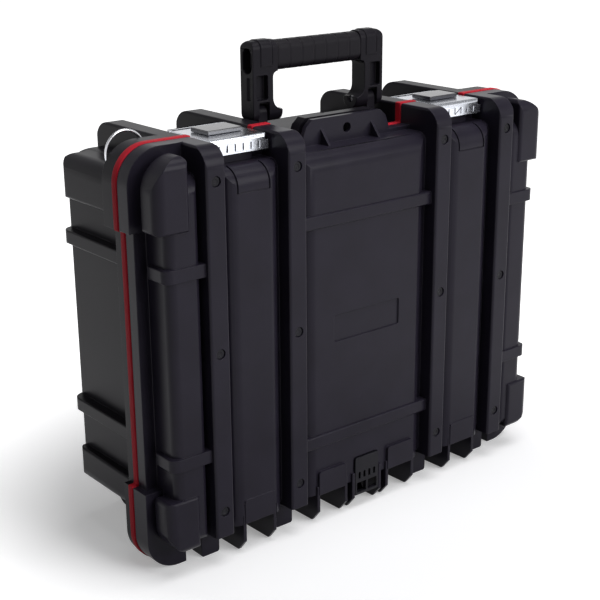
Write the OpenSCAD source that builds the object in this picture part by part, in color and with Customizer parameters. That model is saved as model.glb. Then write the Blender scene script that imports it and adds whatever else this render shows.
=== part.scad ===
// Hard tool case: two moulded halves on a hinge line, closed by two metal clasps,
// with a bail handle, strap rings and a seal that shows all round the joint.
// The case stands on its hinge side. +X is to the right, -Y is the front of the lid, +Z is up.

/* [Case] */
// Width across the corner bumpers
case_w = 480; // [440:1:560]
// Height over the ribs, without the handle
case_h = 385; // [350:1:440]
// Depth from the face of the front ribs to the face of the rear ribs
case_d = 173; // [165:1:200]
// Depth of the lid half, from its rib faces to the joint
lid_d = 54.5; // [53:0.5:58]
// Thickness of the moulded walls
wall = 3.6; // [3:0.1:4.2]

/* [Body] */
// How far the side walls stand in from the corner bumpers
side_in = 18; // [16:0.5:21]
// How far the top wall lies below the rib tops
top_drop = 23; // [22:0.5:26]
// How far the bottom wall stands above the floor
bottom_rise = 29; // [26:0.5:32]
// How far the front wall lies behind the rib faces
front_in = 15.5; // [14:0.5:17]
// How far the rear wall lies ahead of the rib faces
rear_in = 3.5; // [2:0.5:6]
// Corner radius of the body seen from the front
corner_r = 28; // [22:1:34]
// Radius of the lid's front edges
edge_r_front = 8.5; // [6:0.5:12]
// Radius of the base's rear edges
edge_r_rear = 6; // [4:0.5:9]

/* [Ribs] */
// Distance from the corner bumpers' sides to the middle of the outer ribs
rib_side = 64; // [61:0.5:68]
// Width of each rib
rib_w = 20; // [18:0.5:22]
// Radius of the ribs' corners on the lid
rib_r_front = 19; // [14:0.5:22]
// Radius of the ribs' corners on the base
rib_r_rear = 20; // [12:0.5:24]
// Rounding along the ribs' edges
rib_edge_r = 2.5; // [1:0.25:4]
// Width of the hollow inside each rib
rib_hollow_w = 12.8; // [10:0.2:14]

/* [Flange and seal] */
// How far the flange stands in from the corner bumpers
flange_in = 6; // [4:0.5:8]
// How far the flange lies below the rib tops between the ribs
flange_drop = 19; // [16:0.5:20]
// Height of the flange's lower edge above the floor
flange_rise = 21; // [18:0.5:24]
// Thickness of the lid's flange
flange_t_lid = 12; // [9:0.5:13]
// Thickness of the base's flange
flange_t_base = 9; // [7:0.5:11]
// Thickness of the seal
seal_t = 7.6; // [6:0.2:8.4]
// How far the seal stands proud of the flanges
seal_proud = 0.8; // [0.4:0.1:1.2]
// Gap between the lid and the seal
seal_gap = 0.2; // [0.1:0.05:0.4]

/* [Bumpers] */
// Height of the flange bumpers along the upper sides
bumper_h_top = 70; // [55:1:85]
// Height of the flange bumpers along the lower sides
bumper_h_bottom = 79; // [60:1:90]
// Width of the corner bumpers along the top and the bottom
bumper_w = 40; // [38:0.5:43]
// Depth of the upper flange bumpers on the lid
bumper_d_lid = 15.5; // [13:0.5:18]
// Depth of the upper flange bumpers on the base
bumper_d_base = 16.2; // [12:0.2:18]
// How far the lid's corner caps stand proud of its side walls
cap_proud = 11; // [8:0.5:13]
// Depth of the lid's corner caps
cap_d = 23; // [18:0.5:24]
// Height of the base's long side bumpers
side_bumper_h = 39; // [34:1:44]

/* [Hinge] */
// Height of the hinge line above the floor
hinge_z = 6; // [5:0.25:8]
// Radius of the hinge knuckles
knuckle_r = 5.8; // [4.5:0.1:6.5]
// Radius of the hinge pins
hinge_pin_r = 2.5; // [2:0.1:3]
// Distance from the middle to the inner hinge stations
station_x_inner = 44.4; // [42:0.2:48]
// Distance between the middles of a station's two lid plates
station_w = 34.6; // [32:0.2:36]
// Thickness of the lid's hinge plates
gusset_t = 3.6; // [3:0.2:4.4]

/* [Clasps] */
// Side play between each clasp and its ribs
clasp_side = 1.75; // [1:0.25:4]
// Length of each clasp from its lip to its pivot
clasp_l = 62; // [56:0.5:66]
// Height of the lip that bends down in front
lip_h = 14; // [10:0.5:14.5]
// Thickness of the clasp's metal
clasp_t = 2; // [1.6:0.1:2.6]
// Radius of the clasp pins
clasp_pin_r = 1.6; // [1.4:0.1:2]
// Radius of the clasp's barrel
clasp_barrel_r = 3.6; // [3.2:0.1:4]

/* [Handle] */
// Width over the handle's legs; the inner ribs stand beside them
handle_w = 157.2; // [146:0.2:170]
// Side play between the handle's legs and the inner ribs
handle_gap = 0.9; // [0.6:0.1:2]
// Height of the handle's top above the rib tops
handle_h = 69; // [60:1:80]
// Depth of the handle from front to rear
handle_d = 19.5; // [16:0.5:22]
// Width of each leg
leg_w = 23; // [20:0.5:26]
// Height of the hand grip's section
grip_h = 28; // [24:0.5:32]
// Radius of the handle pins
handle_pin_r = 3; // [2.4:0.1:3.4]
// Number of ribs moulded round the soft grip
grip_ribs = 7; // [5:1:9]

/* [Padlock tab and rings] */
// Half width of the padlock tabs at their root
tab_half_w = 52.5; // [46:0.5:56]
// Thickness of the padlock tabs
tab_t = 5; // [4:0.25:6]
// Radius of the padlock holes
padlock_r = 4.5; // [3.5:0.25:5]
// Radius of the strap rings, to the middle of the wire
ring_r = 18.6; // [16:0.2:19.4]
// Thickness of the rings' wire
ring_wire = 2.6; // [2.2:0.1:3]
// Angle by which a strap ring folds back
ring_fold = 80; // [60:1:84]

/* [Fits] */
// Radial play between a pin and what turns on it
run_gap = 0.08; // [0.05:0.01:0.1]
// Radial play between a pin and what holds it fast
fix_gap = 0.02; // [0.01:0.01:0.03]
// Side play between parts that turn past each other
side_gap = 0.6; // [0.4:0.1:1]

/* [Hidden] */
$fn = 48;
eps = 0.01;
over = 2;                             // how far a cutter runs past what it cuts
far = 60;                             // a reach that is always outside a profile

x_max = case_w / 2;                   // face of the corner bumpers
y_front = -case_d / 2;                // face of the lid's ribs
y_back = case_d / 2;                  // face of the base's ribs
y_part = y_front + lid_d;             // the joint, in the middle of the seal
y_lid = y_part - seal_t / 2 - seal_gap;
y_base = y_part + seal_t / 2;
body_x = x_max - side_in;
body_z0 = bottom_rise;
body_z1 = case_h - top_drop;
body_y0 = y_front + front_in;
body_y1 = y_back - rear_in;
flange_x = x_max - flange_in;
flange_z1 = case_h - flange_drop;
rib_x_outer = x_max - rib_side;
rib_x_inner = handle_w / 2 + handle_gap + rib_w / 2;
ribs_x = [-rib_x_outer, -rib_x_inner, rib_x_inner, rib_x_outer];
bay_x = (rib_x_outer + rib_x_inner) / 2;             // middle of a clasp bay
bay_w = rib_x_outer - rib_x_inner - rib_w;           // width of a clasp bay
middle_w = 2 * rib_x_inner - rib_w;                  // width between the inner ribs

panel_in = 6.2;                       // raised bay panels lie this far behind the rib faces
middle_in = 8.4;                      // and the middle panel this far
panel_side = 3;                       // valley between a panel and its ribs
panel_top_r = 18;
panel_side_r = 14;
column_side_r = 7;
rear_panel_h = 2;
small_rib_h = 12;                     // height of the small cross ribs
small_rib_proud = 2;                  // how far the lid's stand ahead of its panels
lid_small_z = [275, 104];             // lower edges of the lid's small ribs
base_small_z = [280, 116.5];          // and of the base's
small_x_lid = body_x + 4.5;           // reach of the lid's small ribs
small_x_base = flange_x - 2;          // and of the base's
small_back = y_lid - 19;              // the lid's end this far ahead of the flange
small_rear = y_back - 6.5;
band_z = [79, 293.5];                 // lower edges of the middle panel's bands
band_h = 13;
plate_w = 82;                         // the bare name plate recess
plate_h = 26;
plate_z = 194;
plate_deep = 1.6;
plug_z = [54, 204.5, case_h - 29];    // heights of the plugs in the ribs
plug_r = 4.4;
plug_deep = 2.6;
plug_stem_r = 2.4;
plug_stem_l = 7;
plug_boss_r = 7;

rib_bottom_z = 29;                    // where the lid ribs' front faces end
foot_y = y_front + 25.5;              // front of the lid ribs' feet
relief = 9;                           // lid feet end this far ahead of the joint, below the hinge line
relief_r = 7.5;                       // and this far from the hinge line above it
gusset_y = y_front + panel_in;        // front edge of the hinge plates
gusset_nose = 12;                     // height at which the plates' noses slope away
stations = [-bay_x, -station_x_inner, 0, station_x_inner, bay_x];
pad_top = 54;                         // top of the raised pads above the stations
knuckle_w = station_w - gusset_t - 2 * side_gap;
pin_head = 1.5;
pin_l = station_w + gusset_t + 2 * pin_head;

clasp_top = case_h - 1;               // top of the clasp plates
clasp_y = y_part - 29;                // face of the lip
clasp_pivot_y = clasp_y + clasp_l;
clasp_pivot_z = clasp_top - clasp_barrel_r;
clasp_bend_r = 4;
lip_cut = 6;                          // slope at the lip's upper corners
clasp_w = bay_w - 2 * clasp_side;
slit_pitch = (clasp_w - 21) / 5;      // six slits across the lip
slit_x = [for (i = [-2.5 : 2.5]) i * slit_pitch];
slit_w = 1;
slit_h = 6;
pad_w = clasp_w - 26;                 // the raised grip pad on each clasp
pad_d = 26;
pad_h = 4;
pad_back = 16;                        // pad's rear edge, ahead of the pivot
clasp_pin_in = 6;                     // how deep the clasp pins enter the ribs
catch_w = 36;
catch_y = clasp_y + 7;
catch_z = clasp_top - lip_h - 0.6;

handle_y = -0.7;                      // the handle's pivot, seen from the side
handle_z = case_h + 4;
handle_top = case_h + handle_h;
leg_x = handle_w / 2 - leg_w;         // inner side of the legs
grip_r = 8;
grip_half = leg_x - 5.6;              // half length of the soft grip
lobe_x = leg_x - 10.6;                // inner reach of the handle's feet
lobe_h = 13;
foot_r = 8.5;
ear_w = 10;                           // the base's ear inside each handle foot
ear_x = handle_w / 2 - 12.6;
ear_r = 7;
ear_neck = 11;                        // the ears are straight down to here, then widen
handle_pin_x = [lobe_x + 3, handle_w / 2 - 2.6];
leg_channel = [handle_w / 2 - 16.6, handle_w / 2 - 3.6];
collar = [leg_x + 1, handle_w / 2 - 8.6];
collar_proud = 0.8;
end_bore_d = 9;
end_bore_h = 22;
end_bore_w = 13;

tab_y_lid = y_part - 16;              // front face of the lid's tab
tab_y_base = y_part - 4.8;            // front face of the base's tab
tab_back = y_base + 2.2;              // and its rear face
tab_z0 = flange_z1;
tab_z1 = case_h + 0.5;
padlock_z = case_h - 11.4;
tab_gusset_x = 30.5;

ring_y = y_base + bumper_d_base + 4;  // the ring stands behind the flange bumper
ring_x = x_max - 26.5;
ring_z = body_z1 + ring_wire / 2 + 0.4;       // height of its straight bar
ring_rise = 10;                       // the bow's middle above the bar
ring_bar = sqrt(ring_r * ring_r - ring_rise * ring_rise);
lug_w = 10;
lug_r = 3.4;

// ---- helpers: a profile pushed along one axis ----

// Children are drawn in (Y, Z)
module along_x(x0, x1) {
    translate([x0, 0, 0]) rotate([90, 0, 90]) linear_extrude(x1 - x0) children();
}

// Children are drawn in (X, Z)
module along_y(y0, y1) {
    translate([0, y1, 0]) rotate([90, 0, 0]) linear_extrude(y1 - y0) children();
}

// Children are drawn in (X, Y)
module along_z(z0, z1) {
    translate([0, 0, z0]) linear_extrude(z1 - z0) children();
}

module box(a, b) {
    translate(a) cube(b - a);
}

// What a rounded corner takes off a square one; inward points from the corner to the middle
module corner_cut(x, y, inward, r) {
    if (r > 0) translate([x, y]) scale1(inward) difference() {
        translate([-over, -over]) square(r + over);
        translate([r, r]) circle(r);
    }
}

// Mirrors a shape into the quarter that inward names
module scale1(inward) {
    mirror([inward[0] < 0 ? 1 : 0, 0]) mirror([0, inward[1] < 0 ? 1 : 0]) children();
}

// Rectangle with its own radius at each corner: low-low, high-low, high-high, low-high
module round4(x0, x1, y0, y1, r) {
    difference() {
        translate([x0, y0]) square([x1 - x0, y1 - y0]);
        corner_cut(x0, y0, [1, 1], r[0]);
        corner_cut(x1, y0, [-1, 1], r[1]);
        corner_cut(x1, y1, [-1, -1], r[2]);
        corner_cut(x0, y1, [1, -1], r[3]);
    }
}

module rrect(x0, x1, y0, y1, r) {
    round4(x0, x1, y0, y1, [r, r, r, r]);
}

// A moulded block whose front face (towards -Y) has rounded edges
module front_block(x0, x1, y0, y1, z0, z1, rc, rs, rt) {
    intersection() {
        along_y(y0, y1) round4(x0, x1, z0, z1, rc);
        along_z(z0, z1) round4(x0, x1, y0, y1 + far, [rs[0], rs[1], 0, 0]);
        along_x(x0, x1) round4(y0, y1 + far, z0, z1, [rt[0], 0, 0, rt[1]]);
    }
}

// The same with its rounded face towards +Y
module rear_block(x0, x1, y0, y1, z0, z1, rc, rs, rt) {
    mirror([0, 1, 0]) front_block(x0, x1, -y1, -y0, z0, z1, rc, rs, rt);
}

// Draws its children on the right and, mirrored, on the left
module both_sides() {
    children();
    mirror([1, 0, 0]) children();
}

module pin_x(x0, x1, y, z, r) {
    translate([x0, y, z]) rotate([0, 90, 0]) cylinder(h = x1 - x0, r = r);
}

// ---- outlines at the joint, in (X, Z) ----

// The upper bumpers run on to the ribs, the lower ones end at x_low
module bumper_outline(grow, z_top, z_bottom, x_low) {
    intersection() {
        rrect(-x_max - grow, x_max + grow, -grow, case_h + grow, corner_r + 4);
        for (s = [0, 1])
            mirror([s, 0]) {
                translate([rib_x_outer, z_top]) square([far * 2, far + case_h]);
                translate([x_low, -far]) square([far * 2, far + z_bottom]);
            }
    }
}

// The whole outline that the seal follows: flange, ribs and corner bumpers
module joint_outline(grow) {
    flange_outline(grow);
    for (x = ribs_x)
        translate([x - rib_w / 2 - grow, -grow]) square([rib_w + 2 * grow, case_h + 2 * grow]);
    bumper_outline(grow, case_h - bumper_h_top - grow, bumper_h_bottom + grow,
        x_max - bumper_w - grow);
}

module flange_outline(grow) {
    rrect(-flange_x - grow, flange_x + grow, flange_rise - grow, flange_z1 + grow, corner_r);
}

module mouth_outline() {
    rrect(-body_x + wall, body_x - wall, body_z0 + wall, body_z1 - wall, corner_r - wall);
}

// ---- ribs ----

// A rib as a whole plate across the case, with rounded edges; the hollow of the case is cut later
module rib_plate(x, y0, y1, profile_r) {
    intersection() {
        along_x(x - rib_w / 2, x + rib_w / 2) round4(y0, y1, 0, case_h, profile_r);
        along_z(0, case_h) rrect(x - rib_w / 2, x + rib_w / 2,
            y0 < y_part ? y0 : y0 - far, y0 < y_part ? y1 + far : y1, rib_edge_r);
        along_y(y0, y1) rrect(x - rib_w / 2, x + rib_w / 2, 0, case_h, rib_edge_r);
    }
}

module lid_rib(x) {
    difference() {
        rib_plate(x, y_front, y_lid, [0, 0, 0, rib_r_front]);
        box([x - rib_w, y_front - over, -over], [x + rib_w, foot_y, rib_bottom_z]);
    }
}

module lid_rib_hollow(x) {
    difference() {
        along_x(x - rib_hollow_w / 2, x + rib_hollow_w / 2)
            round4(y_front + wall, y_lid - flange_t_lid, body_z0 + wall, case_h - wall,
                [0, 0, 0, rib_r_front - wall]);
        for (z = plug_z)
            translate([x, y_front, z]) rotate([-90, 0, 0])
                cylinder(h = plug_deep + plug_stem_l + wall, r = plug_boss_r);
    }
}

module base_rib_hollow(x) {
    along_x(x - rib_hollow_w / 2, x + rib_hollow_w / 2)
        round4(y_base + bumper_d_base, y_back - wall, body_z0 + wall, case_h - wall,
            [0, rib_r_rear - wall, rib_r_rear - wall, 0]);
}

// ---- lid ----

module lid_body() {
    front_block(-body_x, body_x, body_y0, y_lid, body_z0, body_z1,
        [corner_r, corner_r, corner_r, corner_r], [edge_r_front, edge_r_front],
        [edge_r_front, edge_r_front]);
}

module bay_panel(half_w, y0, bottom_r, inset) {
    front_block(-half_w + inset, half_w - inset, y0 + inset, y_lid, body_z0 + inset, body_z1 - inset,
        [0, 0, 0, 0], [panel_side_r - inset, panel_side_r - inset],
        [bottom_r, panel_top_r - inset]);
}

module lid_panels(inset) {
    for (s = [-1, 1])
        translate([s * bay_x, 0, 0])
            bay_panel(bay_w / 2 - panel_side, y_front + panel_in, inset > 0 ? 0 : 2, inset);
    bay_panel(middle_w / 2 - panel_side, y_front + middle_in, inset > 0 ? 0 : 2, inset);
}

// The narrow panel between the outer rib and the lid's edge, with its two small ribs
module lid_column() {
    x0 = rib_x_outer + rib_w / 2 + panel_side;
    front_block(x0, body_x, y_front + panel_in, y_lid, body_z0, body_z1,
        [0, corner_r, corner_r, 0], [column_side_r, edge_r_front], [edge_r_front, panel_top_r]);
    for (z = lid_small_z)
        intersection() {
            along_z(z, z + small_rib_h)
                round4(rib_x_outer, small_x_lid, y_front + panel_in - small_rib_proud, small_back,
                    [0, edge_r_front, 0, 0]);
            along_y(y_front, y_lid) rrect(rib_x_outer, small_x_lid, z, z + small_rib_h, 1.5);
        }
}

// The four caps on the lid's front corners, each with a groove behind it
module lid_caps() {
    x0 = x_max - bumper_w;
    x1 = body_x + cap_proud;
    y0 = y_front + 3.5;
    front_block(x0, x1, y0, y0 + cap_d, case_h - bumper_h_top + 2, case_h - 5,
        [3, 4, corner_r + 2, 5], [4, edge_r_front + 1.5], [3, 12]);
    front_block(x0, x1, y0, y0 + cap_d, bottom_rise - 5, bumper_h_bottom - 3,
        [4, corner_r - 2, 4, 3], [4, edge_r_front + 1.5], [8, 3]);
}

module lid_flange() {
    along_y(y_lid - flange_t_lid, y_lid) flange_outline(0);
    along_y(y_lid - bumper_d_lid, y_lid) intersection() {
        bumper_outline(0, case_h - bumper_h_top, bumper_h_bottom, x_max - bumper_w);
        translate([-x_max, case_h / 2]) square([case_w, case_h]);
    }
    along_y(y_lid - bumper_d_lid - 5, y_lid) intersection() {
        bumper_outline(0, case_h - bumper_h_top, bumper_h_bottom, x_max - bumper_w);
        translate([-x_max, 0]) square([case_w, case_h / 2]);
    }
}

module lid_bands() {
    half = middle_w / 2;
    for (z = band_z)
        along_x(-half, half)
            round4(y_front + middle_in - small_rib_proud, y_lid, z, z + band_h, [2, 0, 0, 2]);
}

// Two plates for each hinge station, with a raised pad on the panel above them
module lid_gussets() {
    for (s = stations)
        for (side = [-1, 1])
            translate([s + side * station_w / 2 - gusset_t / 2, 0, 0]) hinge_plate(gusset_t);
    for (s = stations)
        if (s != 0)
            along_y(gusset_y - 1, y_front + front_in)
                round4(s - station_w / 2, s + station_w / 2, body_z0 + 1, pad_top, [0, 0, 3, 3]);
}

module hinge_plate(t) {
    along_x(0, t) {
        polygon([[gusset_y, body_z0 + 10], [gusset_y, gusset_nose], [gusset_y + 9, 1],
            [y_part, hinge_z - knuckle_r], [y_part, hinge_z + knuckle_r],
            [y_lid - 1, hinge_z + knuckle_r + 2], [y_lid - 1, body_z0 + 10]]);
        translate([y_part, hinge_z]) circle(knuckle_r);
    }
}

// The padlock tab: a plate with sloping ends and two webs in front
module tab_outline(half_w, z0) {
    polygon([[-half_w, z0], [half_w, z0], [half_w, tab_z0 + 3], [half_w - 4, tab_z1 - 6],
        [half_w - 11, tab_z1], [11 - half_w, tab_z1], [4 - half_w, tab_z1 - 6], [-half_w, tab_z0 + 3]]);
}

module lid_tab() {
    along_y(tab_y_lid, tab_y_lid + tab_t) tab_outline(tab_half_w, body_z1 - wall);
    for (s = [-1, 1])
        along_x(s * tab_gusset_x - 1.5, s * tab_gusset_x + 1.5)
            polygon([[tab_y_lid + 1, tab_z1 - 8], [tab_y_lid + 1, body_z1 - wall],
                [tab_y_lid - 13, body_z1 - wall], [tab_y_lid - 13, body_z1 - 1]]);
}

// The ledge that each clasp's lip closes over
module lid_catches() {
    for (s = [-1, 1])
        along_x(s * bay_x - catch_w / 2, s * bay_x + catch_w / 2)
            polygon([[catch_y, body_z1 - wall], [catch_y, catch_z - 2], [catch_y + 2, catch_z],
                [catch_y + 6, catch_z], [y_lid - flange_t_lid + 1, flange_z1],
                [y_lid - flange_t_lid + 1, body_z1 - wall]]);
}

// Two curved grooves and a faint line on each bay panel, below the clasp
module panel_grooves() {
    deep = 1.5;
    z0 = body_z1 - 22;
    for (s = [-1, 1]) {
        for (x = [-17, 17])
            difference() {
                box([s * bay_x + x - 0.8, y_front, z0], [s * bay_x + x + 0.8, clasp_y - 2, body_z1 + 1]);
                along_x(s * bay_x + x - 1, s * bay_x + x + 1)
                    round4(y_front + panel_in + deep, y_lid, z0 - 1, body_z1 - deep,
                        [0, 0, 0, panel_top_r - deep]);
            }
        box([s * bay_x - 17, y_front, z0], [s * bay_x + 17, y_front + panel_in + 0.6, z0 + 0.8]);
    }
}

module plug_holes() {
    for (x = ribs_x)
        for (z = plug_z)
            translate([x, y_front - over, z]) rotate([-90, 0, 0]) {
                cylinder(h = plug_deep + over, r = plug_r + 0.2);
                cylinder(h = plug_deep + plug_stem_l + over + 0.5, r = plug_stem_r + fix_gap);
            }
}

module lid_hollow() {
    inset = wall;
    front_block(-body_x + inset, body_x - inset, body_y0 + inset, y_part, body_z0 + inset, body_z1 - inset,
        [corner_r - inset, corner_r - inset, corner_r - inset, corner_r - inset],
        [edge_r_front - inset, edge_r_front - inset], [edge_r_front - inset, edge_r_front - inset]);
    lid_panels(inset);
    for (x = ribs_x)
        lid_rib_hollow(x);
}

// Room for the seal and the base as the lid swings, round the hinge line and below it
module hinge_relief() {
    box([-x_max - over, y_lid - relief, -over], [x_max + over, y_part + over, hinge_z]);
    pin_x(-x_max - over, x_max + over, y_part, hinge_z, relief_r);
}

module lid_shell() {
    color("#34343d") difference() {
        union() {
            difference() {
                union() {
                    lid_body();
                    lid_panels(0);
                    lid_flange();
                    for (x = ribs_x)
                        lid_rib(x);
                    both_sides() lid_column();
                    both_sides() lid_caps();
                    lid_bands();
                    lid_tab();
                    lid_catches();
                }
                lid_hollow();
                hinge_relief();
                panel_grooves();
                plug_holes();
                clip_seat(0.3);
            }
            lid_gussets();
        }
        pin_x(-case_w / 2, case_w / 2, y_part, hinge_z, hinge_pin_r + run_gap);
        along_y(y_front + middle_in - over, y_front + middle_in + plate_deep)
            rrect(-plate_w / 2, plate_w / 2, plate_z - plate_h / 2, plate_z + plate_h / 2, 2);
        along_y(tab_y_lid - over, tab_y_lid + tab_t + over)
            translate([0, padlock_z]) circle(padlock_r);
    }
}

module rib_plugs() {
    color("#2a2a31")
        for (x = ribs_x)
            for (z = plug_z)
                translate([x, y_front + plug_deep, z]) rotate([-90, 0, 0]) {
                    difference() {
                        translate([0, 0, -1.4]) cylinder(h = 1.4, r = plug_r);
                        translate([0, 0, -1.4 - over]) cylinder(h = over + 0.8, r = 2);
                    }
                    cylinder(h = plug_stem_l, r = plug_stem_r);
                }
}

// The slotted clip set into the lid at the middle of the hinge
module clip_outline(gap) {
    round4(-station_w / 2 + gusset_t / 2 + 0.4 - gap, station_w / 2 - gusset_t / 2 - 0.4 + gap,
        14 - gap, pad_top + gap, [0, 0, 3, 3]);
}

module clip_seat(gap) {
    along_y(y_front - over, y_front + middle_in + 3) clip_outline(gap);
}

module centre_clip() {
    half = station_w / 2 - gusset_t / 2 - 0.4;
    color("#2c2c34") difference() {
        along_y(y_front + panel_in, y_front + middle_in + 3) clip_outline(0);
        for (x = [-9.6, -3.2, 3.2, 9.6])
            box([x - 1.2, y_front, 31], [x + 1.2, y_front + far, 38]);
        for (s = [-1, 1])
            box([s > 0 ? 1.2 : 2.4 - half, y_front, 16.5], [s > 0 ? half - 2.4 : -1.2, y_front + far, 27]);
    }
}

// ---- base ----

module base_body() {
    rear_block(-body_x, body_x, y_base, body_y1, body_z0, body_z1,
        [corner_r, corner_r, corner_r, corner_r], [edge_r_rear, edge_r_rear],
        [edge_r_rear, edge_r_rear]);
}

module base_panels() {
    for (s = [-1, 1])
        translate([s * bay_x, 0, 0])
            rear_block(panel_side - bay_w / 2, bay_w / 2 - panel_side, y_base, body_y1 + rear_panel_h,
                body_z0, body_z1, [0, 0, 0, 0], [2, 2], [edge_r_rear, edge_r_rear]);
    rear_block(panel_side - middle_w / 2, middle_w / 2 - panel_side, y_base, body_y1 + rear_panel_h,
        body_z0, body_z1, [0, 0, 0, 0], [2, 2], [edge_r_rear, edge_r_rear]);
}

module base_flange() {
    along_y(y_base, y_base + flange_t_base) flange_outline(0);
    along_y(y_base, y_base + bumper_d_base) intersection() {
        bumper_outline(0, case_h - bumper_h_top, bumper_h_bottom, x_max - bumper_w);
        translate([-x_max, case_h / 2]) square([case_w, case_h]);
    }
    along_y(y_base, y_base + flange_t_base - 2) intersection() {
        bumper_outline(0, case_h - bumper_h_top, bumper_h_bottom, x_max - bumper_w);
        translate([-x_max, 0]) square([case_w, case_h / 2]);
    }
}

// Long bumpers and small ribs that run from the flange round to the rear
module base_side() {
    x0 = x_max - bumper_w;
    x1 = flange_x - 3.5;
    y1 = y_back - 7.5;
    rear_block(x0, x1, y_base, y1, body_z1 - 1 - side_bumper_h, body_z1 - 1,
        [2, 3, 16, 0], [2, 12], [3, 8]);
    rear_block(x0, x1, y_base, y1, bumper_h_bottom - 36, bumper_h_bottom - 2,
        [6, 14, 3, 2], [2, 12], [8, 3]);
    for (z = base_small_z)
        intersection() {
            along_z(z, z + small_rib_h + 0.5)
                round4(rib_x_outer, small_x_base, y_base - far, small_rear, [0, 0, 12, 0]);
            along_y(y_base, y_back)
                rrect(rib_x_outer, small_x_base, z, z + small_rib_h + 0.5, 1.5);
        }
}

module base_knuckles() {
    for (s = stations)
        along_x(s - knuckle_w / 2, s + knuckle_w / 2) {
            translate([y_part, hinge_z]) circle(knuckle_r);
            polygon([[y_part, hinge_z - knuckle_r], [y_part, hinge_z + knuckle_r],
                [y_base, flange_rise - 2], [y_base + 2, body_z0 + 2], [y_base + 26, body_z0 + 2],
                [y_base + 18, 0], [y_base, 0]]);
        }
}

module base_tab() {
    along_y(tab_y_base, tab_back) tab_outline(tab_half_w - 1, flange_z1 + seal_proud + 0.6);
    along_y(y_base, tab_back) tab_outline(tab_half_w - 1, body_z1 - wall);
}

// An ear for each handle foot, rising from the base's top wall
module handle_ears() {
    for (s = [-1, 1])
        along_x(s * ear_x - ear_w / 2, s * ear_x + ear_w / 2) {
            translate([handle_y, handle_z]) circle(ear_r);
            polygon([[handle_y - ear_r, handle_z], [handle_y + ear_r, handle_z],
                [handle_y + ear_r, handle_z - ear_neck], [handle_y + ear_r + 5, body_z1 - wall],
                [handle_y - ear_r - 5, body_z1 - wall], [handle_y - ear_r, handle_z - ear_neck]]);
        }
}

// The lug on the long bumper that a strap ring's straight bar turns in
module ring_lug() {
    along_x(ring_x - lug_w / 2, ring_x + lug_w / 2) {
        translate([ring_y, ring_z]) circle(lug_r);
        polygon([[ring_y - 5, body_z1 - 6], [ring_y - 5, ring_z], [ring_y, ring_z + lug_r],
            [ring_y + lug_r, ring_z], [ring_y + lug_r + 1.5, body_z1 - 6]]);
    }
}

module base_hollow() {
    rear_block(-body_x + wall, body_x - wall, y_part, body_y1 - wall, body_z0 + wall, body_z1 - wall,
        [corner_r - wall, corner_r - wall, corner_r - wall, corner_r - wall],
        [edge_r_rear - wall, edge_r_rear - wall], [edge_r_rear - wall, edge_r_rear - wall]);
    for (x = ribs_x)
        base_rib_hollow(x);
}

module base_shell() {
    color("#3a3940") difference() {
        union() {
            difference() {
                union() {
                    base_body();
                    base_panels();
                    base_flange();
                    for (x = ribs_x)
                        rib_plate(x, y_base, y_back, [0, rib_r_rear, rib_r_rear, 0]);
                    both_sides() base_side();
                    base_tab();
                    both_sides() ring_lug();
                }
                base_hollow();
            }
            base_knuckles();
            handle_ears();
        }
        for (s = stations)
            pin_x(s - far / 2, s + far / 2, y_part, hinge_z, hinge_pin_r + fix_gap);
        for (s = [-1, 1]) {
            pin_x(s * bay_x - bay_w / 2 - clasp_pin_in, s * bay_x + bay_w / 2 + clasp_pin_in,
                clasp_pivot_y, clasp_pivot_z, clasp_pin_r + fix_gap);
            pin_x(s * ear_x - ear_w, s * ear_x + ear_w, handle_y, handle_z, handle_pin_r + fix_gap);
        }
        for (s = [-1, 1])
            pin_x(s * ring_x - lug_w, s * ring_x + lug_w, ring_y, ring_z, ring_wire / 2 + 0.3);
        along_y(tab_y_base - over, tab_back + over) translate([0, padlock_z]) circle(padlock_r);
    }
}

module seal() {
    color("#8e3a40") along_y(y_part - seal_t / 2, y_part + seal_t / 2) difference() {
        joint_outline(seal_proud);
        mouth_outline();
        // nothing of the seal reaches the floor
        translate([-x_max - far, -far]) square([2 * x_max + 2 * far, far + 2]);
        for (s = stations)
            translate([s - station_w / 2 - gusset_t, -over])
                square([station_w + 2 * gusset_t, over + hinge_z + knuckle_r + 2]);
    }
}

module hinge_pin(s) {
    color("#8c8c90") {
        pin_x(s - pin_l / 2 + pin_head, s + pin_l / 2 - pin_head, y_part, hinge_z, hinge_pin_r);
        pin_x(s - pin_l / 2, s - pin_l / 2 + pin_head, y_part, hinge_z, hinge_pin_r + 1.2);
        pin_x(s + pin_l / 2 - pin_head, s + pin_l / 2, y_part, hinge_z, hinge_pin_r + 1.2);
    }
}

// ---- clasps ----

module clasp_pin(s) {
    half = bay_w / 2 + clasp_pin_in - 0.2;
    color("#8c8c90")
        pin_x(s * bay_x - half, s * bay_x + half, clasp_pivot_y, clasp_pivot_z, clasp_pin_r);
}

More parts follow.
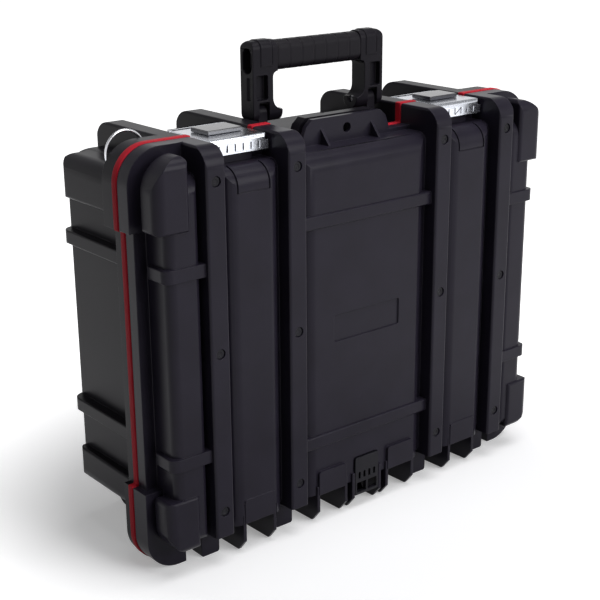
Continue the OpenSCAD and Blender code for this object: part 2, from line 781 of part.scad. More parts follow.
module clasp_plate(s) {
    half = clasp_w / 2;
    x = s * bay_x;
    color("#d6d8dc") difference() {
        union() {
            intersection() {
                along_x(x - half, x + half) difference() {
                    union() {
                        round4(clasp_y, clasp_pivot_y, clasp_top - lip_h, clasp_top,
                            [0, 0, 0, clasp_bend_r]);
                        translate([clasp_pivot_y, clasp_pivot_z]) circle(clasp_barrel_r);
                    }
                    // the space under the plate and behind the lip
                    round4(clasp_y + clasp_t, clasp_pivot_y, clasp_top - lip_h - over, clasp_top - clasp_t,
                        [0, 0, 0, clasp_bend_r - clasp_t]);
                }
                along_y(clasp_y - over, clasp_pivot_y + far)
                    polygon([[x - half, clasp_top - far], [x + half, clasp_top - far],
                        [x + half, clasp_top - lip_cut * 0.7], [x + half - lip_cut * 0.4, clasp_top],
                        [x - half + lip_cut * 0.4, clasp_top], [x - half, clasp_top - lip_cut * 0.7]]);
            }
            pin_x(x - half, x + half, clasp_pivot_y, clasp_pivot_z, clasp_barrel_r);
        }
        pin_x(x - half - over, x + half + over, clasp_pivot_y, clasp_pivot_z, clasp_pin_r + run_gap);
        for (c = slit_x)
            box([x + c - slit_w / 2, clasp_y - over, clasp_top - lip_h + 2],
                [x + c + slit_w / 2, clasp_y + clasp_t + 0.5, clasp_top - lip_h + 2 + slit_h]);
        // sloping upper corners of the lip
        for (side = [-1, 1])
            translate([x + side * half, clasp_y, clasp_top])
                rotate([0, 0, 45]) translate([-lip_cut / 2, -lip_cut / 2, -lip_cut])
                    cube([lip_cut, lip_cut, lip_cut + over]);
    }
}

module clasp_pad(s) {
    y1 = clasp_pivot_y - pad_back;
    color("#26262c") front_block(s * bay_x - pad_w / 2, s * bay_x + pad_w / 2, y1 - pad_d, y1,
        clasp_top, clasp_top + pad_h, [0, 0, 1, 1], [1, 1], [0, 1]);
}

// ---- handle ----

module handle_profile() {
    difference() {
        rrect(-handle_w / 2, handle_w / 2, handle_z - foot_r, handle_top, 6);
        // the hand gap, with the feet flaring inwards below it
        round4(-leg_x, leg_x, handle_z + lobe_h, handle_top - grip_h, [0, 0, 5, 5]);
        translate([-lobe_x, handle_z - foot_r - over]) square([2 * lobe_x, lobe_h + foot_r + 2 * over]);
        for (s = [-1, 1])
            translate([s * lobe_x, handle_z + lobe_h]) circle(leg_x - lobe_x);
    }
}

module handle_bail() {
    half = handle_w / 2;
    front = handle_y - handle_d / 2;
    rear = handle_y + handle_d / 2;
    color("#3b3a41") difference() {
        union() {
            intersection() {
                along_y(front, rear) handle_profile();
                along_x(-half, half)
                    round4(front, rear, handle_z - foot_r, handle_top, [foot_r, foot_r, grip_r, grip_r]);
            }
            // a collar round the tube at each end of the grip
            for (s = [-1, 1])
                along_x(s > 0 ? collar[0] : -collar[1], s > 0 ? collar[1] : -collar[0])
                    rrect(front - collar_proud, rear + collar_proud, handle_top - grip_h - collar_proud,
                        handle_top + collar_proud, grip_r);
        }
        // the soft grip sits in a reduced middle
        difference() {
            box([-grip_half, front - over, handle_top - grip_h - over],
                [grip_half, rear + over, handle_top + over]);
            along_x(-grip_half - over, grip_half + over) grip_section(3);
        }
        for (s = [-1, 1]) {
            x0 = s > 0 ? leg_channel[0] : -leg_channel[1];
            x1 = s > 0 ? leg_channel[1] : -leg_channel[0];
            // open tube ends
            along_x(s > 0 ? half - end_bore_d : -half - over, s > 0 ? half + over : end_bore_d - half)
                rrect(handle_y - end_bore_w / 2 - 0.8, handle_y + end_bore_w / 2 - 0.8,
                    handle_top - 7 - end_bore_h, handle_top - 7, end_bore_w / 2 - 0.1);
            // a deep channel down the front of each leg, and a shallow one down its rear
            along_y(front - over, front + 6)
                rrect(x0, x1, handle_z + ear_r + 5, handle_top - grip_h - collar_proud - 2, 2);
            along_y(rear - 3, rear + over)
                rrect(x0, x1, handle_z + ear_r + 5, handle_top - grip_h - collar_proud - 2, 2);
            // a narrow groove down its outer side
            box([s > 0 ? half - 1.6 : -half - over, handle_y - 5.3, handle_z + ear_r + 5],
                [s > 0 ? half + over : 1.6 - half, handle_y - 0.3, handle_top - grip_h - 5]);
            // the slot that takes the base's ear
            box([s * ear_x - ear_w / 2 - side_gap, front - over, handle_z - foot_r - over],
                [s * ear_x + ear_w / 2 + side_gap, rear + over, handle_z + ear_r + 2.6]);
        }
        pin_x(-half + 2, -lobe_x + 2, handle_y, handle_z, handle_pin_r + run_gap);
        pin_x(lobe_x - 2, half - 2, handle_y, handle_z, handle_pin_r + run_gap);
    }
}

// Section of the grip, in (Y, Z); inset makes the core that it is moulded on
module grip_section(inset) {
    rrect(handle_y - handle_d / 2 + inset, handle_y + handle_d / 2 - inset,
        handle_top - grip_h + inset, handle_top - 1 - inset, grip_r - inset);
}

module handle_grip() {
    pitch = 2 * (grip_half - 6) / grip_ribs;
    color("#403f46") difference() {
        along_x(-grip_half, grip_half) grip_section(0);
        along_x(-grip_half - over, grip_half + over) grip_section(3);
        // narrow grooves between the grip's ribs
        for (i = [0 : grip_ribs])
            difference() {
                x = (i - grip_ribs / 2) * pitch;
                along_x(x - 0.7, x + 0.7) grip_section(-over);
                along_x(x - 1, x + 1) grip_section(0.8);
            }
    }
}

module handle_pin(s) {
    color("#8c8c90") pin_x(s > 0 ? handle_pin_x[0] : -handle_pin_x[1],
        s > 0 ? handle_pin_x[1] : -handle_pin_x[0], handle_y, handle_z, handle_pin_r);
}

// ---- strap rings ----

// A D-shaped ring of round wire, turned back about its straight bar by fold
module strap_ring(fold) {
    wire_r = ring_wire / 2;
    translate([ring_x, ring_y, ring_z]) rotate([-fold, 0, 0]) {
        difference() {
            translate([0, 0, ring_rise]) rotate([90, 0, 0])
                rotate_extrude() translate([ring_r, 0]) circle(wire_r, $fn = 24);
            translate([-ring_r * 2, -ring_r, -ring_r * 2]) cube([ring_r * 4, ring_r * 2, ring_r * 2]);
        }
        rotate([0, 90, 0]) cylinder(h = 2 * ring_bar, r = wire_r, center = true);
        for (s = [-1, 1])
            translate([s * ring_bar, 0, 0]) sphere(wire_r, $fn = 24);
    }
}

// ---- assembly ----

base_shell();
seal();
hinge_pin(stations[0]);  // hinge_pin_1
hinge_pin(stations[1]);  // hinge_pin_2
hinge_pin(stations[2]);  // hinge_pin_3
hinge_pin(stations[3]);  // hinge_pin_4
hinge_pin(stations[4]);  // hinge_pin_5
clasp_pin(-1);  // clasp_pin_left
clasp_pin(1);  // clasp_pin_right
handle_pin(-1);  // handle_pin_left
handle_pin(1);  // handle_pin_right
lid_shell();
rib_plugs();
centre_clip();
clasp_plate(-1);  // clasp_plate_left
clasp_plate(1);  // clasp_plate_right
clasp_pad(-1);  // clasp_pad_left
clasp_pad(1);  // clasp_pad_right
handle_bail();
handle_grip();
mirror([1, 0, 0]) color("#b9bbc0") strap_ring(0);  // strap_ring_left
color("#b9bbc0") strap_ring(ring_fold);  // strap_ring_right
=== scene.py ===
# %% [markdown]
# # A hard tool case in moulded plastic
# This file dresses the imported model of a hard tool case: two ribbed halves in moulded
# plastic, a red seal between them, two pressed metal clasps, a folding carrying handle
# and two strap rings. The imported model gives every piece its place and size, and this
# file gives the pieces their softened edges, their small details and their finishes.

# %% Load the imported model
import math

import bmesh
import bpy
from mathutils import Matrix, Vector


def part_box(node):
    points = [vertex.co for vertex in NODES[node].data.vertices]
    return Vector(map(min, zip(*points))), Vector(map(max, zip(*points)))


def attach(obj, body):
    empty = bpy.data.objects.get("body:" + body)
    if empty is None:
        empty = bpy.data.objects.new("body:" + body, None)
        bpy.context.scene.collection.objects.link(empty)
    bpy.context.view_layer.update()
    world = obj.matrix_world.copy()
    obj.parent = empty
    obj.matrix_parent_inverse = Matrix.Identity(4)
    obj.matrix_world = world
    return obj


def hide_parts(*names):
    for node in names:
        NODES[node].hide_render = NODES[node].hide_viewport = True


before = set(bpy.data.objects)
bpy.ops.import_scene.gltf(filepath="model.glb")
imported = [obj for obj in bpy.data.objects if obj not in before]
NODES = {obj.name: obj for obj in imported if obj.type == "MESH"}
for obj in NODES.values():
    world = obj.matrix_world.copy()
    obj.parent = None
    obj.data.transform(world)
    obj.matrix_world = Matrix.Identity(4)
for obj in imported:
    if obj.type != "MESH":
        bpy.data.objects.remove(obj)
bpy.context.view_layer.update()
MM = 0.001

# %% [markdown]
# ## Colours and nodes
# A colour picked from a screen is in sRGB, while the renderer works with linear light,
# so one function turns a hex value into linear numbers. A second one adds a node with
# its settings and links in one line, for shaders and for Geometry Nodes alike. That
# keeps each finish and each node tree short enough to read.

# %% Helpers for colours and nodes
def linear(hex_value):
    """An sRGB hex colour as linear red, green, blue and alpha."""
    channels = [int(hex_value[i:i + 2], 16) / 255 for i in (1, 3, 5)]
    return [c / 12.92 if c <= 0.04045 else ((c + 0.055) / 1.055) ** 2.4
            for c in channels] + [1.0]


def add(tree, kind, settings=None, values=(), **sockets):
    """A node of that kind. Sockets are set by place in values or by name, each to a
    number, a colour, a material or another node's output."""
    node = tree.nodes.new(kind)
    for name, value in (settings or {}).items():
        setattr(node, name, value)
    wanted = list(zip(node.inputs, values))
    wanted += [(node.inputs[name.replace("_", " ")], value) for name, value in sockets.items()]
    for socket, value in wanted:
        if isinstance(value, bpy.types.NodeSocket):
            tree.links.new(value, socket)
        elif value is not None:
            socket.default_value = value
    return node


def ramp(tree, fac, stops):
    """A colour ramp over fac, with (position, colour) stops."""
    node = add(tree, "ShaderNodeValToRGB", Fac=fac)
    for element, (position, colour) in zip(node.color_ramp.elements, stops):
        element.position, element.color = position, colour
    return node.outputs["Color"]


def finish_tree(name):
    """An empty material, with the output of object coordinates and its surface socket."""
    material = bpy.data.materials.new(name)
    material.use_nodes = True
    tree = material.node_tree
    tree.nodes.clear()
    where = add(tree, "ShaderNodeTexCoord").outputs["Object"]
    surface = add(tree, "ShaderNodeOutputMaterial").inputs["Surface"]
    return material, tree, where, surface


# %% [markdown]
# ## Moulded polypropylene
# Both halves are polypropylene, injection moulded in a spark-eroded tool. That leaves a
# fine even grain, which spreads highlights into a soft grey sheen, and a slight clouding
# of the colour where the melt cooled at different speeds. The real grain is a tenth of a
# millimetre wide, too fine to show here, so it is drawn about half a millimetre wide and
# very shallow. The small parts are the same plastic with less polish, and the clasp pads
# are a glossier plastic that mirrors the white room. Rubber parts have the same tree with
# a coarser grain and a duller surface.

# %% Moulded plastics
CLOUD_SCALE = 26.0  # clouds for each metre, so one is about 38 mm wide
CLOUD_START, CLOUD_END = 0.3, 0.75
SMOOTHER, ROUGHER = 0.05, 0.06  # how far the clouds move the roughness each way
GRAIN_STRENGTH = 0.35
PLASTIC_IOR = 1.49


def moulded(name, colour, lighter, roughness, grain_mm, height_mm, specular=0.13):
    """A moulded finish that clouds from one colour to a lighter one, with a fine grain."""
    material, tree, where, surface = finish_tree(name)
    cloud = add(tree, "ShaderNodeTexNoise", Vector=where, Scale=CLOUD_SCALE,
                Detail=3.0).outputs["Fac"]
    tint = ramp(tree, cloud, [(CLOUD_START, linear(colour)), (CLOUD_END, linear(lighter))])
    grain = add(tree, "ShaderNodeTexNoise", Vector=where, Scale=1 / (grain_mm * MM),
                Detail=2.0).outputs["Fac"]
    polish = add(tree, "ShaderNodeMapRange", Value=cloud, To_Min=roughness - SMOOTHER,
                 To_Max=roughness + ROUGHER)
    bump = add(tree, "ShaderNodeBump", Height=grain, Strength=GRAIN_STRENGTH,
               Distance=height_mm * MM)
    shader = add(tree, "ShaderNodeBsdfPrincipled", Base_Color=tint,
                 Roughness=polish.outputs["Result"], IOR=PLASTIC_IOR,
                 Specular_IOR_Level=specular, Normal=bump.outputs["Normal"])
    tree.links.new(shader.outputs["BSDF"], surface)
    return material


LID_PLASTIC = moulded("moulded polypropylene, lid", "#211e28", "#27242f",
                      roughness=0.3, grain_mm=0.6, height_mm=0.05, specular=0.11)
BASE_PLASTIC = moulded("moulded polypropylene, base", "#18161c", "#1e1c22",
                       roughness=0.34, grain_mm=0.6, height_mm=0.05, specular=0.08)
PLUG_PLASTIC = moulded("moulded polypropylene, small parts", "#1a191e", "#201f25",
                       roughness=0.36, grain_mm=0.5, height_mm=0.04)
GRIP_RUBBER = moulded("thermoplastic rubber, hand grip", "#17151a", "#1c1a1f",
                      roughness=0.46, grain_mm=0.8, height_mm=0.09, specular=0.1)
SEAL_RUBBER = moulded("silicone rubber, red seal", "#b01e2c", "#c22c3a",
                      roughness=0.5, grain_mm=0.9, height_mm=0.05, specular=0.06)
PAD_PLASTIC = moulded("satin acrylonitrile butadiene styrene, clasp pads", "#26262e", "#2d2d35",
                      roughness=0.16, grain_mm=0.5, height_mm=0.02, specular=1.0)
print("plastics:", [m.name for m in bpy.data.materials])

# %% [markdown]
# ## Metals
# The clasps are pressed from aluminium sheet and tumbled, which gives a bright satin
# surface with a faint grain along the sheet. The pins and rings are drawn steel wire:
# drawing leaves fine lines along the wire and a brighter, tighter highlight. The real
# lines are a few hundredths of a millimetre wide, so they are drawn about a millimetre
# wide. On the clasps and pins the noise is stretched along the way that the metal was
# worked. A ring's wire turns round as it goes, so its noise is left even.

# %% Metals
BRIGHTER, DULLER = 0.07, 0.1  # how far the lines move the roughness each way
LINE_STRENGTH = 0.15
LINE_MM = 0.02


def metal(name, colour, roughness, grain, stretch):
    """A worked metal: fine lines, grain of them for each metre, stretched along one way."""
    material, tree, where, surface = finish_tree(name)
    along = add(tree, "ShaderNodeMapping", Vector=where, Scale=stretch)
    lines = add(tree, "ShaderNodeTexNoise", Vector=along.outputs["Vector"], Scale=grain,
                Detail=3.0).outputs["Fac"]
    spread = add(tree, "ShaderNodeMapRange", Value=lines, To_Min=roughness - BRIGHTER,
                 To_Max=roughness + DULLER)
    bump = add(tree, "ShaderNodeBump", Height=lines, Strength=LINE_STRENGTH,
               Distance=LINE_MM * MM)
    shader = add(tree, "ShaderNodeBsdfPrincipled", Base_Color=linear(colour), Metallic=1.0,
                 Roughness=spread.outputs["Result"], Normal=bump.outputs["Normal"])
    tree.links.new(shader.outputs["BSDF"], surface)
    return material


CLASP_METAL = metal("tumbled aluminium sheet", "#d3d6de", 0.24, 900.0, (1.0, 0.12, 1.0))
PIN_STEEL = metal("drawn steel pin", "#a8a8ac", 0.32, 1400.0, (0.05, 1.0, 1.0))
RING_STEEL = metal("bright drawn steel wire", "#d2d3d8", 0.2, 1200.0, (1.0, 1.0, 1.0))
print("metals:", CLASP_METAL.name, "/", PIN_STEEL.name, "/", RING_STEEL.name)

# %% [markdown]
# ## Softened edges
# No moulded or pressed edge is perfectly sharp: even a crisp one has a radius of a few
# tenths of a millimetre, and that radius is what catches the light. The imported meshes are
# loose triangles, so a copy is merged, its flat areas are dissolved into whole faces, and
# the remaining sharp edges get a small bevel. Normals weighted by face area then keep the
# flat walls flat, so that only the roundings carry a gradient.

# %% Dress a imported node
WELD_MM = 0.004     # points closer than this are one point
FLAT_DEG = 0.4      # faces that meet at less than this are one flat
SHARP_DEG = 32      # edges that turn more than this get a bevel
SMOOTH_DEG = 34     # edges that turn less than this are shaded smooth


def softened(node, name, width_mm):
    """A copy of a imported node's mesh with small bevels on its sharp edges."""
    source = bmesh.new()
    source.from_mesh(NODES[node].data)
    bmesh.ops.remove_doubles(source, verts=source.verts, dist=WELD_MM * MM)
    bmesh.ops.dissolve_limit(source, angle_limit=math.radians(FLAT_DEG), verts=source.verts,
                             edges=source.edges, delimit={"NORMAL"})
    mesh = bpy.data.meshes.new(name)
    source.to_mesh(mesh)
    source.free()
    piece = bpy.data.objects.new(name, mesh)
    bpy.context.scene.collection.objects.link(piece)
    if width_mm:
        bevel = piece.modifiers.new("edge", "BEVEL")
        bevel.width = width_mm * MM
        bevel.segments = 2
        bevel.limit_method = "ANGLE"
        bevel.angle_limit = math.radians(SHARP_DEG)
        bevel.use_clamp_overlap = False
        bevel.miter_outer = "MITER_ARC"
    return settled(piece)


def baked(piece):
    """Turns the piece's modifiers into its plain mesh."""
    graph = bpy.context.evaluated_depsgraph_get()
    mesh = bpy.data.meshes.new_from_object(piece.evaluated_get(graph))
    piece.modifiers.clear()
    piece.data = mesh
    return mesh


def settled(piece):
    """The piece as a plain mesh, smooth over its roundings and true on its flats."""
    mesh = baked(piece)
    mesh.shade_smooth()
    mesh.set_sharp_from_angle(angle=math.radians(SMOOTH_DEG))
    weighted = piece.modifiers.new("normals", "WEIGHTED_NORMAL")
    weighted.keep_sharp = True
    weighted.weight = 100
    baked(piece)
    return piece


def dress(piece, body, material, nodes):
    """Gives a piece its finish, the body it rides on and the nodes it stands for."""
    piece.data.materials.clear()
    piece.data.materials.append(material)
    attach(piece, body)
    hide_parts(*nodes)
    print(piece.name, "triangles:", sum(len(p.vertices) - 2 for p in piece.data.polygons))


# %% [markdown]
# ## The two halves and the seal
# The halves are deep shells with ribs, bands and bumpers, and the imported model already
# has all of these forms. Modelling them again would only let them drift from it, so they
# keep its shape and gain their edge radius. The base takes a smaller one, because at the
# upper ends of its ribs several edges meet within a millimetre and a wider bevel would
# overlap itself there. The seal is soft silicone, so its edges are rounder.

# %% Dress the two halves and the seal
dress(softened("lid_shell", "lid", 0.5), "lid", LID_PLASTIC, ["lid_shell"])
dress(softened("base_shell", "base_half", 0.3), "base", BASE_PLASTIC,
      ["base_shell"])
dress(softened("seal", "seal_strip", 1.2), "base", SEAL_RUBBER, ["seal"])

# %% [markdown]
# ## Handle, clasps and rings
# The handle is a moulded bail with a metal pin in each foot. A clasp is a bent plate with
# a plastic pad to press on. A ring is round wire, which has no edge to soften, so it is
# only merged and shaded smooth. Left and right are dressed by one loop, so that both
# sides stay alike.

# %% Dress the handle, the clasps and the rings
dress(softened("centre_clip", "clip", 0.5), "lid", PLUG_PLASTIC,
      ["centre_clip"])
dress(softened("handle_bail", "handle_frame", 0.8), "handle", BASE_PLASTIC,
      ["handle_bail"])
for side in ("left", "right"):
    dress(softened("clasp_plate_" + side, "clasp_" + side, 0.5), "clasp_" + side,
          CLASP_METAL, ["clasp_plate_" + side])
    dress(softened("clasp_pad_" + side, "pad_" + side, 0.8), "clasp_" + side,
          PAD_PLASTIC, ["clasp_pad_" + side])
    dress(softened("strap_ring_" + side, "ring_" + side, 0.0), "ring_" + side,
          RING_STEEL, ["strap_ring_" + side])
    for kind in ("clasp_pin_", "handle_pin_"):
        dress(softened(kind + side, kind + side + "_steel", 0.3), "base",
              PIN_STEEL, [kind + side])

# %% [markdown]
# ## Geometry Nodes
# What repeats is made by Geometry Nodes: the twelve plugs in the ribs, the five hinge
# pins and the fields of the hand grip. Each tree has named inputs for its sizes, and each
# input is set by its socket's identifier, because two sockets may share a name. A tree
# ends by realising its instances and setting the material, and the result becomes a
# plain mesh before the piece is handed on.

# %% Start, end and run a node tree
FLOAT, THING = "NodeSocketFloat", "NodeSocketObject"


def sized_tree(name, sizes):
    """A Geometry Nodes tree with one input for each size, and the inputs' identifiers."""
    tree = bpy.data.node_groups.new(name, "GeometryNodeTree")
    face = tree.interface
    face.new_socket("Geometry", in_out="INPUT", socket_type="NodeSocketGeometry")
    keys = {label: face.new_socket(label, in_out="INPUT", socket_type=kind).identifier
            for label, kind in sizes.items()}
    face.new_socket("Geometry", in_out="OUTPUT", socket_type="NodeSocketGeometry")
    return tree, add(tree, "NodeGroupInput").outputs, keys


def close_tree(tree, geometry, material):
    """Realises the instances, sets the material and ends the tree."""
    real = add(tree, "GeometryNodeRealizeInstances", Geometry=geometry)
    painted = add(tree, "GeometryNodeSetMaterial", Geometry=real.outputs["Geometry"],
                  Material=material)
    add(tree, "NodeGroupOutput", Geometry=painted.outputs["Geometry"])


def grown(name, tree, keys, values, points=()):
    """Runs a tree on a mesh of loose points and returns the settled piece."""
    mesh = bpy.data.meshes.new(name)
    mesh.from_pydata(list(points), [], [])
    piece = bpy.data.objects.new(name, mesh)
    bpy.context.scene.collection.objects.link(piece)
    modifier = piece.modifiers.new("grow", "NODES")
    modifier.node_group = tree
    for label, value in values.items():
        modifier[keys[label]] = value
    return settled(piece)


# %% [markdown]
# ## Turned shapes
# A plug and a pin are both turned shapes, so one helper spins a profile round an axis.
# The profile is a short list of radius and height in millimetres, with its small
# roundings written as points. A second helper is the tree that sets one such shape on
# every point that it is given.

# %% Turn a profile
TURN_STEPS = 32


def turned(name, profile):
    """A closed turned body: (radius, height) points in mm, spun round local Z."""
    shape = bmesh.new()
    rows = []
    for radius, height in profile:
        if radius == 0:
            rows.append([shape.verts.new((0, 0, height * MM))])
            continue
        angles = [2 * math.pi * i / TURN_STEPS for i in range(TURN_STEPS)]
        rows.append([shape.verts.new((radius * MM * math.cos(a), radius * MM * math.sin(a),
                                      height * MM)) for a in angles])
    for low, high in zip(rows, rows[1:]):
        for i in range(TURN_STEPS):
            after = (i + 1) % TURN_STEPS
            ring = [low[i % len(low)], low[after % len(low)],
                    high[after % len(high)], high[i % len(high)]]
            shape.faces.new(list(dict.fromkeys(ring)))
    bmesh.ops.recalc_face_normals(shape, faces=shape.faces)
    mesh = bpy.data.meshes.new(name)
    shape.to_mesh(mesh)
    shape.free()
    return bpy.data.objects.new(name, mesh)


# %% A tree that sets one turned shape on every point
def studded(name, material, turn):
    """A tree that sets its Shape on every point of its geometry, turned by turn."""
    tree, given, keys = sized_tree(name, {"Shape": THING, "Scale": FLOAT})
    shape = add(tree, "GeometryNodeObjectInfo", {"transform_space": "ORIGINAL"},
                Object=given["Shape"])
    spots = add(tree, "GeometryNodeMeshToPoints", Mesh=given["Geometry"])
    scale = add(tree, "ShaderNodeCombineXYZ", X=given["Scale"], Y=given["Scale"],
                Z=given["Scale"])
    studs = add(tree, "GeometryNodeInstanceOnPoints", Points=spots.outputs["Points"],
                Instance=shape.outputs["Geometry"], Rotation=turn,
                Scale=scale.outputs["Vector"])
    close_tree(tree, studs.outputs["Instances"], material)
    return tree, keys


# %% [markdown]
# ## Plugs in the ribs
# Each of the four ribs has three small round plugs, set a little below its face. A plug
# is a shallow moulded button with a rounded rim and a dimple, on a stem that holds it in
# its seat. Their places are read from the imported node, so they sit in their seats.

# %% Plugs
PLUG_FACE_MM = 1.4  # how far the button's face stands out from its own origin
PLUG = [(0, -1.0), (1.7, -1.0), (2.0, -1.15), (2.3, -PLUG_FACE_MM), (3.9, -PLUG_FACE_MM),
        (4.25, -1.25), (4.4, -0.9), (4.4, 0), (2.4, 0), (2.4, 6.6), (2.0, 7.0), (0, 7.0)]


def islands(node):
    """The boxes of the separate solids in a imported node, as low and high corners."""
    shape = bmesh.new()
    shape.from_mesh(NODES[node].data)
    bmesh.ops.remove_doubles(shape, verts=shape.verts, dist=WELD_MM * MM)
    left, boxes = set(shape.verts), []
    while left:
        stack, group = [left.pop()], []
        while stack:
            vert = stack.pop()
            group.append(vert.co.copy())
            for edge in vert.link_edges:
                other = edge.other_vert(vert)
                if other in left:
                    left.remove(other)
                    stack.append(other)
        low = Vector([min(co[k] for co in group) for k in range(3)])
        high = Vector([max(co[k] for co in group) for k in range(3)])
        boxes.append((low, high))
    shape.free()
    return boxes


seats = [Vector(((low.x + high.x) / 2, low.y + PLUG_FACE_MM * MM, (low.z + high.z) / 2))
         for low, high in islands("rib_plugs")]
plug_tree, plug_keys = studded("plugs", PLUG_PLASTIC, (math.radians(-90), 0, 0))
plugs = grown("plugs", plug_tree, plug_keys,
              {"Shape": turned("plug", PLUG), "Scale": 1.0}, seats)
dress(plugs, "lid", PLUG_PLASTIC, ["rib_plugs"])
print("plugs:", len(seats))

# %% [markdown]
# ## Hinge pins
# Five steel pins run through the hinge stations. Each has a low domed head at both ends,
# pressed on after the pin was pushed through. Half of the profile is written, and the
# other half is its mirror image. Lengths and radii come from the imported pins.

# %% Hinge pins
PIN_NODES = [f"hinge_pin_{i}" for i in range(1, 6)]
spans = [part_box(node) for node in PIN_NODES]
half_pin = (spans[0][1][0] - spans[0][0][0]) / 2 / MM
head_r = (spans[0][1][1] - spans[0][0][1]) / 2 / MM
PIN = [(0, -half_pin), (head_r - 1.4, -half_pin), (head_r - 0.5, -half_pin + 0.25),
       (head_r, -half_pin + 0.9), (head_r, -half_pin + 1.5), (head_r - 1.2, -half_pin + 1.5)]
PIN += [(radius, -height) for radius, height in reversed(PIN)]
middles = [tuple((low[k] + high[k]) / 2 for k in range(3)) for low, high in spans]
pin_tree, pin_keys = studded("hinge pins", PIN_STEEL, (0, math.radians(90), 0))
pins = grown("hinge_pins", pin_tree, pin_keys,
             {"Shape": turned("pin", PIN), "Scale": 1.0}, middles)
dress(pins, "base", PIN_STEEL, PIN_NODES)
print("hinge pins:", len(middles), "length mm:", round(2 * half_pin, 2))

# %% [markdown]
# ## Hand grip
# A soft rubber sleeve is moulded over the middle of the handle, and thin grooves part it
# into seven fields under the fingers. A straight curve along the grip carries a rounded
# section, and the section's scale dips a little at each groove, so the fields come from
# one rule and their count stays easy to change.

# %% Hand grip
GRIP_STEPS = 241     # sections along the grip, so that a groove has several of them
GROOVE_REACH = 0.11  # half a groove's width, as a share of one field
CORNER_STEPS = 10


def grip_tree():
    """A straight sleeve along X whose rounded section dips between its fields."""
    tree, given, keys = sized_tree("hand grip", {
        "Length": FLOAT, "Depth": FLOAT, "Height": FLOAT, "Corner": FLOAT,
        "Fields": FLOAT, "Dip": FLOAT})

    def maths(operation, *values):
        return add(tree, "ShaderNodeMath", {"operation": operation}, values).outputs[0]

    start = add(tree, "ShaderNodeCombineXYZ", X=maths("MULTIPLY", given["Length"], -0.5))
    end = add(tree, "ShaderNodeCombineXYZ", X=maths("MULTIPLY", given["Length"], 0.5))
    line = add(tree, "GeometryNodeCurvePrimitiveLine", Start=start.outputs["Vector"],
               End=end.outputs["Vector"]).outputs["Curve"]
    path = add(tree, "GeometryNodeResampleCurve", Curve=line, Count=GRIP_STEPS).outputs["Curve"]
    along = add(tree, "GeometryNodeSplineParameter").outputs["Factor"]
    swing = maths("PINGPONG", maths("MULTIPLY", along, given["Fields"]), 0.5)
    near = add(tree, "ShaderNodeMapRange", {"interpolation_type": "SMOOTHSTEP"}, Value=swing,
               From_Min=0.0, From_Max=GROOVE_REACH, To_Min=1.0, To_Max=0.0).outputs["Result"]
    width = maths("SUBTRACT", 1.0, maths("MULTIPLY", near, given["Dip"]))
    outline = add(tree, "GeometryNodeCurvePrimitiveQuadrilateral", Width=given["Depth"],
                  Height=given["Height"]).outputs["Curve"]
    section = add(tree, "GeometryNodeFilletCurve", {"mode": "POLY"}, Curve=outline,
                  Count=CORNER_STEPS, Radius=given["Corner"]).outputs["Curve"]
    sleeve = add(tree, "GeometryNodeCurveToMesh", Curve=path, Profile_Curve=section,
                 Scale=width, Fill_Caps=True)
    close_tree(tree, sleeve.outputs["Mesh"], GRIP_RUBBER)
    return tree, keys


low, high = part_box("handle_grip")
sleeve_tree, sleeve_keys = grip_tree()
grip = grown("grip", sleeve_tree, sleeve_keys, {
    "Length": high[0] - low[0], "Depth": high[1] - low[1], "Height": high[2] - low[2],
    "Corner": 8 * MM, "Fields": 7.0, "Dip": 0.05})
found = [Vector(corner) for corner in grip.bound_box]
size = [max(c[k] for c in found) - min(c[k] for c in found) for k in range(3)]
print("grip before placing:", [round(s, 4) for s in size])
if size[1] > size[2]:
    grip.data.transform(Matrix.Rotation(math.radians(90), 4, "X"))
grip.data.transform(Matrix.Translation([(low[k] + high[k]) / 2 for k in range(3)]))
dress(grip, "handle", GRIP_RUBBER, ["handle_grip"])

# %% [markdown]
# ## Studio
# The case stands on a white floor, as in a catalogue picture. The floor and the world are
# white only where the camera or a reflection sees them, so the background is white while
# the case itself is lit at an ordinary level. The floor's own glow starts low under the
# case and grows with the distance from it: that is painted shade, a darker ring of floor
# round the case that deepens the lamps' real shadow there. The world fades from white at
# the horizon to grey overhead, so that glossy edges have something to mirror and the flat
# tops don't wash out.

# %% Floor and world
WHITE = linear("#ffffff")
FLOOR = [(-30, -12, 0), (30, -12, 0), (30, 40, 0), (-30, 40, 0)]
# Within these reaches the floor's glow is dimmed: painted shade round the case.
PAINTED_SHADE_REACH, WHITE_REACH = 0.25, 0.46  # metres from the middle of the case
PAINTED_SHADE_GLOW = 0.3
AIR_LIGHT = 0.08
HORIZON, OVERHEAD, OVERHEAD_GREY = 0.3, 0.6, 0.3


def seen_directly(tree):
    """1 for rays from the camera, a mirror or glass, 0 for the light itself."""
    ray = add(tree, "ShaderNodeLightPath").outputs
    seen = ray["Is Camera Ray"]
    for kind in ("Is Glossy Ray", "Is Transmission Ray"):
        seen = add(tree, "ShaderNodeMath", {"operation": "MAXIMUM"}, (seen, ray[kind])).outputs[0]
    return seen


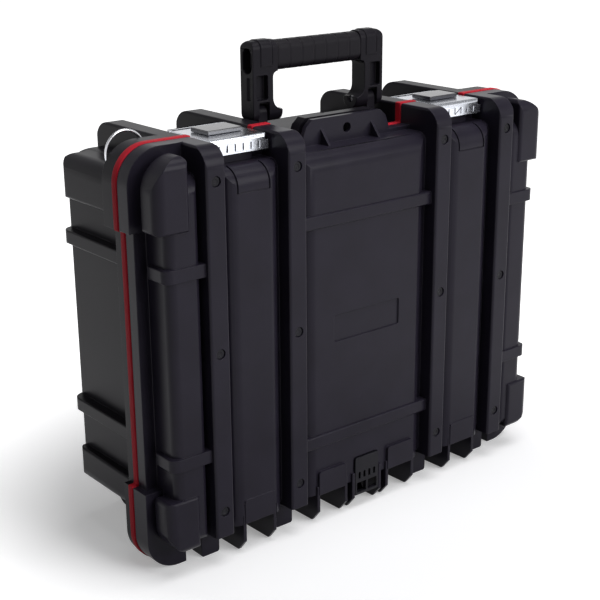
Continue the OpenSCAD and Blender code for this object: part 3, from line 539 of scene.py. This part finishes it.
def studio_floor():
    """A white floor that keeps the lamps' shadow, has painted shade near the case and doesn't
    light the case from below.
    """
    mesh = bpy.data.meshes.new("floor")
    mesh.from_pydata(FLOOR, [], [(0, 1, 2, 3)])
    floor = bpy.data.objects.new("floor", mesh)
    bpy.context.scene.collection.objects.link(floor)
    material, tree, where, surface = finish_tree("white studio floor")
    reach = add(tree, "ShaderNodeVectorMath", {"operation": "LENGTH"}, (where,)).outputs["Value"]
    # Painted shade: the glow rises from a low level near the case to full white further out.
    level = add(tree, "ShaderNodeMapRange", Value=reach, From_Min=PAINTED_SHADE_REACH,
                From_Max=WHITE_REACH, To_Min=PAINTED_SHADE_GLOW, To_Max=1.0)
    paper = add(tree, "ShaderNodeBsdfDiffuse", Color=linear("#f0f0f2"))
    glow = add(tree, "ShaderNodeEmission", Color=WHITE, Strength=level.outputs["Result"])
    both = add(tree, "ShaderNodeAddShader", None,
               (paper.outputs["BSDF"], glow.outputs["Emission"]))
    dim = add(tree, "ShaderNodeBsdfDiffuse", Color=linear("#8c8c8e"))
    mix = add(tree, "ShaderNodeMixShader", None,
              (seen_directly(tree), dim.outputs["BSDF"], both.outputs["Shader"]))
    tree.links.new(mix.outputs["Shader"], surface)
    mesh.materials.append(material)


def studio_world():
    """A faint even light, with a white horizon for the camera and for reflections."""
    world = bpy.data.worlds.new("studio")
    bpy.context.scene.world = world
    world.use_nodes = True
    tree = world.node_tree
    tree.nodes.clear()
    air = add(tree, "ShaderNodeBackground", Color=WHITE, Strength=AIR_LIGHT)
    sky = add(tree, "ShaderNodeTexCoord").outputs["Generated"]
    height = add(tree, "ShaderNodeSeparateXYZ", Vector=sky).outputs["Z"]
    dome = add(tree, "ShaderNodeMapRange", Value=height, From_Min=HORIZON, From_Max=OVERHEAD,
               To_Min=1.0, To_Max=OVERHEAD_GREY)
    white = add(tree, "ShaderNodeBackground", Color=WHITE, Strength=dome.outputs["Result"])
    mix = add(tree, "ShaderNodeMixShader", None,
              (seen_directly(tree), air.outputs[0], white.outputs[0]))
    add(tree, "ShaderNodeOutputWorld", Surface=mix.outputs["Shader"])


studio_floor()
studio_world()
print("floor shadow zone, metres:", PAINTED_SHADE_REACH, "to", WHITE_REACH)

# %% [markdown]
# ## Lamps
# Three soft boxes light the case. The one overhead gives the tops their bright edge, the
# one in front on the right fills the lid's panels, and a weak one at the left keeps the
# case's left face from going black.

# %% Lamps
LAMP_AIM = Vector((0, 0, 0.2))


def softbox(name, spot, side_m, watts):
    """A square area lamp at that spot, aimed at the case."""
    lamp = bpy.data.lights.new(name, "AREA")
    lamp.shape = "RECTANGLE"
    lamp.size = lamp.size_y = side_m
    lamp.energy = watts
    box = bpy.data.objects.new(name, lamp)
    bpy.context.scene.collection.objects.link(box)
    box.location = spot
    box.rotation_euler = (LAMP_AIM - Vector(spot)).to_track_quat("-Z", "Y").to_euler()


softbox("overhead", (0.35, -0.5, 2.3), side_m=1.5, watts=29)
softbox("front right", (0.9, -2.4, 1.5), side_m=1.6, watts=42)
softbox("left", (-1.8, -0.9, 2.0), side_m=1.2, watts=2.5)
print("lamps:", [lamp.name for lamp in bpy.data.lights])

# %% [markdown]
# ## Camera
# The camera's place and direction were fitted to the photograph once, from the ends of
# the ribs and the corners of the case, and are kept as plain numbers in metres.

# %% Camera
AT = Vector((-0.7636, -0.9179, 0.5934))
RIGHT = Vector((0.77475, -0.63222, -0.00722))
UP = Vector((0.20596, 0.24157, 0.94827))
FORWARD = Vector((0.59778, 0.73617, -0.31737))
LENS_MM, SENSOR_MM = 76.05, 36.0

lens = bpy.data.cameras.new("photo view")
lens.lens, lens.sensor_width = LENS_MM, SENSOR_MM
camera = bpy.data.objects.new("photo view", lens)
bpy.context.scene.collection.objects.link(camera)
turn = Matrix((RIGHT, UP, -FORWARD)).transposed().to_4x4()
camera.matrix_world = Matrix.Translation(AT) @ turn
bpy.context.scene.camera = camera
bpy.context.scene.view_settings.view_transform = "Standard"
print("camera to the case's middle, metres:", round((AT - LAMP_AIM).length, 3))
